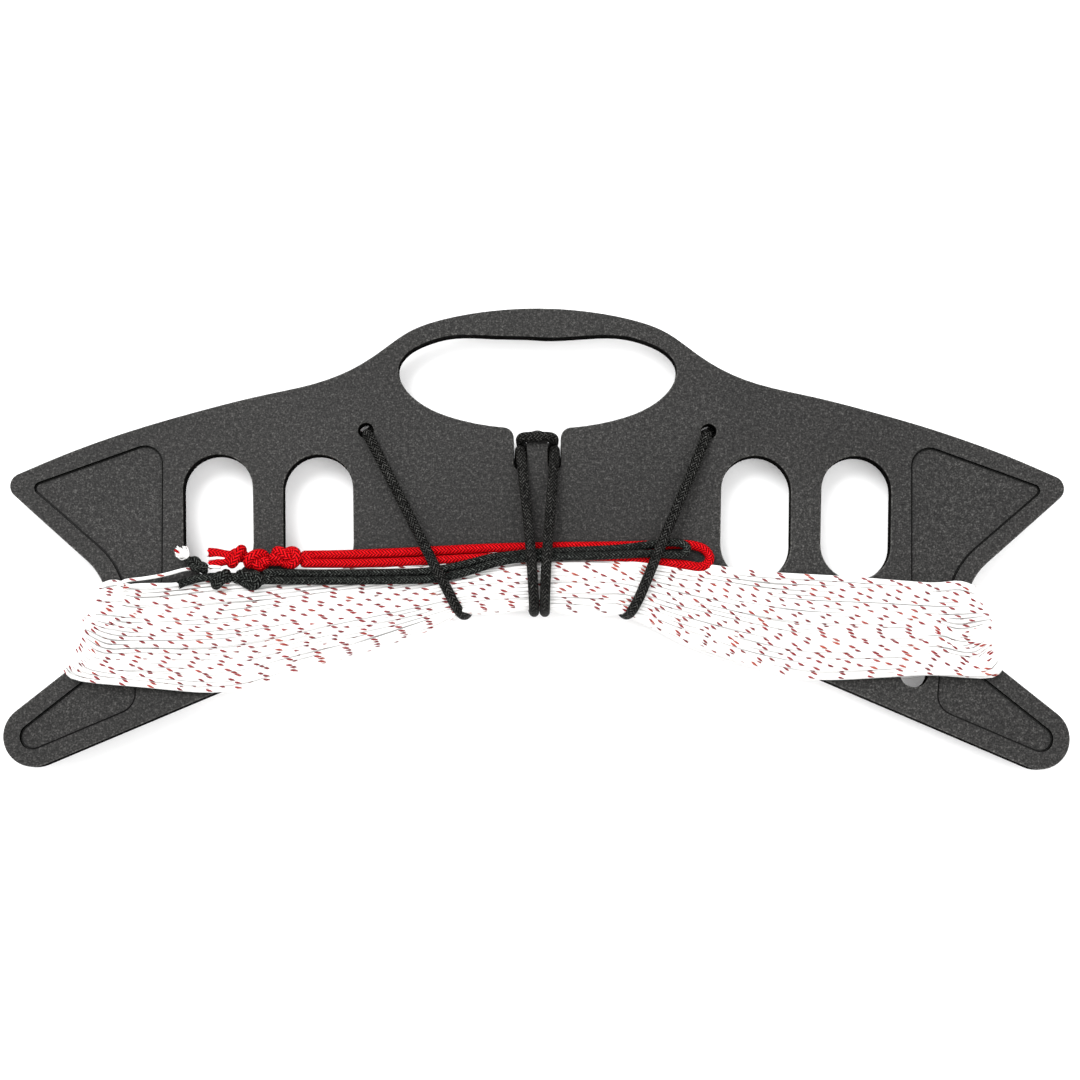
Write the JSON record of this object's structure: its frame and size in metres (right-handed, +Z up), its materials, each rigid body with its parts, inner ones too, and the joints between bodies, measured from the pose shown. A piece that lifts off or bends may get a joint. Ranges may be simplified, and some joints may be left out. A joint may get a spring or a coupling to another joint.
{
  "type": "kite line winder",
  "caption": "Flat bow-shaped hand winder with a grip opening, finger slots and end notches, holding a hank of kite line tied down by an elastic cord.",
  "frame": {"origin": "bottom centre of the whole object's box, as it lies face up on a table", "axes": "+Z up out of the front face, +X to the right along the winder, +Y towards the grip"},
  "size_m": [0.2774, 0.1217, 0.0174],
  "materials": {
    "plate": "fine spark-eroded grain, charcoal",
    "line": "white braided polyester with red marker flecks",
    "elastic": "black braided shock cord",
    "red_braid": "red braided sleeve",
    "black_braid": "black braided sleeve"
  },
  "bodies": {
    "winder": {"winder_plate": "plate", "line_winding_front": "line", "line_winding_back": "line", "line_winding_turns_left": "line", "line_winding_turns_right": "line", "line_winding_under_arch": "line", "elastic_left": "elastic", "elastic_right": "elastic", "elastic_return_left": "elastic", "elastic_return_right": "elastic", "elastic_knot_left": "elastic", "elastic_knot_right": "elastic", "red_leader": "red_braid", "red_leader_knot_inner": "red_braid", "red_leader_knot_middle": "red_braid", "red_leader_knot_end": "red_braid", "red_leader_tail_upper": "red_braid", "red_leader_tail_lower": "red_braid", "black_leader": "black_braid", "black_leader_knot_inner": "black_braid", "black_leader_knot_end": "black_braid", "black_leader_tail": "black_braid", "line_stopper_knot": "black_braid", "flying_line_lead_upper": "line", "flying_line_lead_lower": "line", "flying_line_frayed_end": "line"},
    "hook_loop": {"elastic_hook_loop": "elastic"}
  },
  "joints": [
    {"name": "hook_loop_lift", "type": "slide", "parent": "winder", "child": "hook_loop", "axis": [0, 1, 0], "range_m": [0, 0.012], "stiffness_N_per_m": 150, "deforming": ["elastic_return_left", "elastic_return_right"]}
  ]
}
